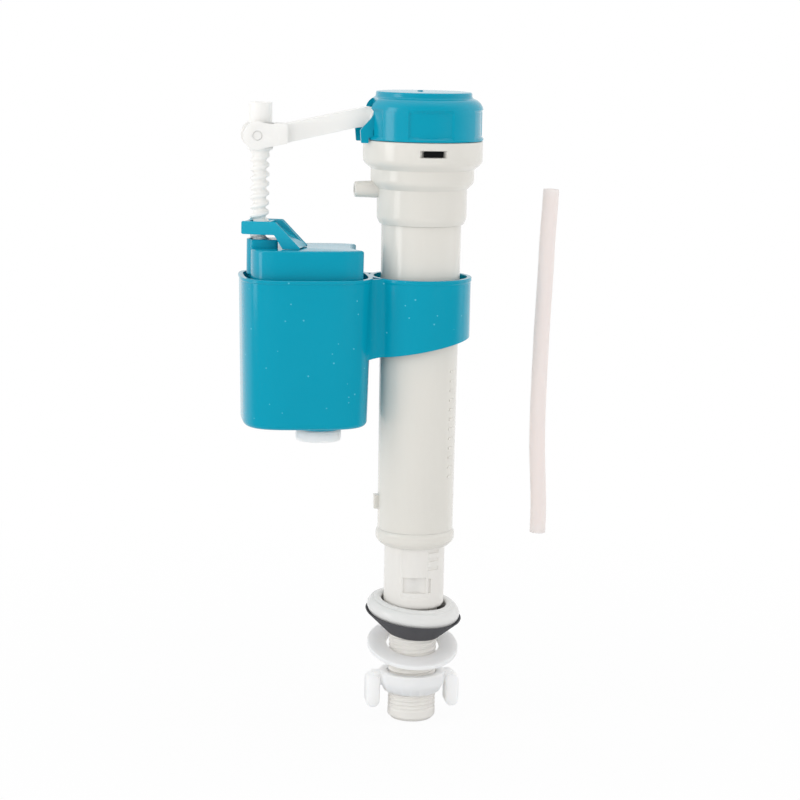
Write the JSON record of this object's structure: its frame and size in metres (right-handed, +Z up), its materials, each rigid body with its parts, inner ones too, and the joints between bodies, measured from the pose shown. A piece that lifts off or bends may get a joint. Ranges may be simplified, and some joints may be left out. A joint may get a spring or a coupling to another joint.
{
  "type": "toilet fill valve",
  "caption": "Telescoping toilet fill valve with a threaded bottom inlet, a float in a cup beside the column, and a lever that works the pilot valve under its cap.",
  "frame": {"origin": "On the shank's axis, in the plane where the cone gasket seals the hole in the tank's floor, 42 mm above the shank's lower end.", "axes": "+Z up along the column, the float cup on the -X side of it, the head's small window facing -Y."},
  "size_m": [0.1378, 0.0516, 0.2757],
  "materials": {
    "column_plastic": "moulded white plastic, slightly warm and satin",
    "arm_plastic": "moulded bright white plastic",
    "clear_plastic": "unfilled milky plastic, slightly translucent",
    "soft_tube": "soft milky hose, translucent",
    "teal_plastic": "moulded teal plastic with a soft gloss",
    "black_rubber": "moulded black rubber"
  },
  "bodies": {
    "root": {"riser_shank": "column_plastic", "inlet_filter": "clear_plastic", "flow_restrictor": "black_rubber", "cone_gasket": "black_rubber", "gasket_ring": "arm_plastic", "refill_tube": "soft_tube"},
    "washer": {"clamp_washer": "clear_plastic"},
    "nut": {"wing_nut": "clear_plastic"},
    "column": {"outer_tube": "column_plastic", "supply_tube": "column_plastic", "supply_o_ring": "black_rubber", "valve_body": "column_plastic", "vent_flap": "black_rubber", "diaphragm": "black_rubber", "diaphragm_plate": "arm_plastic", "cap": "teal_plastic", "cap_seal": "black_rubber", "lever_pin": "arm_plastic"},
    "collar": {"lock_collar": "column_plastic"},
    "seat": {"seat_disc": "black_rubber"},
    "cup": {"float_cup": "teal_plastic", "cup_plug": "arm_plastic"},
    "flap": {"cup_flap": "black_rubber"},
    "arm": {"lever": "arm_plastic", "pilot_seal": "black_rubber"},
    "swivel": {"swivel_block": "arm_plastic"},
    "rod": {"adjuster_rod": "arm_plastic", "adjuster_knob": "arm_plastic"},
    "float": {"float": "teal_plastic", "float_clip": "teal_plastic"}
  },
  "joints": [
    {"name": "washer_slide", "type": "slide", "parent": "root", "child": "washer", "axis": [0, 0, 1], "range_m": [-0.008, 0]},
    {"name": "nut_spin", "type": "hinge", "parent": "washer", "child": "nut", "pos_m": [0, 0, -0.027], "axis": [0, 0, 1], "range_deg": [-1590, 1]},
    {"name": "height_adjust", "type": "slide", "parent": "root", "child": "column", "axis": [0, 0, 1], "range_m": [-0.02, 0.06]},
    {"name": "collar_twist", "type": "hinge", "parent": "column", "child": "collar", "pos_m": [0, 0, 0.04], "axis": [0, 0, 1], "range_deg": [0, 90]},
    {"name": "seat_lift", "type": "slide", "parent": "column", "child": "seat", "axis": [0, 0, 1], "range_m": [0, 0.0015]},
    {"name": "cup_slide", "type": "slide", "parent": "column", "child": "cup", "axis": [0, 0, 1], "range_m": [-0.03, 0.003]},
    {"name": "flap_swing", "type": "hinge", "parent": "cup", "child": "flap", "pos_m": [-0.0496, 0, 0.0936], "axis": [0, -1, 0], "range_deg": [0, 25]},
    {"name": "lever_pivot", "type": "hinge", "parent": "column", "child": "arm", "pos_m": [-0.0195, 0, 0.2225], "axis": [0, 1, 0], "range_deg": [0, 12]},
    {"name": "rod_swivel", "type": "hinge", "parent": "arm", "child": "swivel", "pos_m": [-0.0715, 0, 0.2146], "axis": [0, 1, 0], "range_deg": [-12, 0]},
    {"name": "float_adjust", "type": "slide", "parent": "swivel", "child": "float", "axis": [0, 0, 1], "range_m": [-0.01, 0.006]},
    {"name": "rod_spin", "type": "hinge", "parent": "swivel", "child": "rod", "pos_m": [-0.0697, 0, 0.2], "axis": [0, 0, 1], "range_deg": [-541, 901]}
  ],
  "couplings": [
    {"joint": "nut_spin", "follows": "washer_slide", "rad_per_m": 3463.7},
    {"joint": "rod_swivel", "follows": "lever_pivot", "ratio": -1},
    {"joint": "rod_spin", "follows": "float_adjust", "rad_per_m": -1570.8}
  ]
}
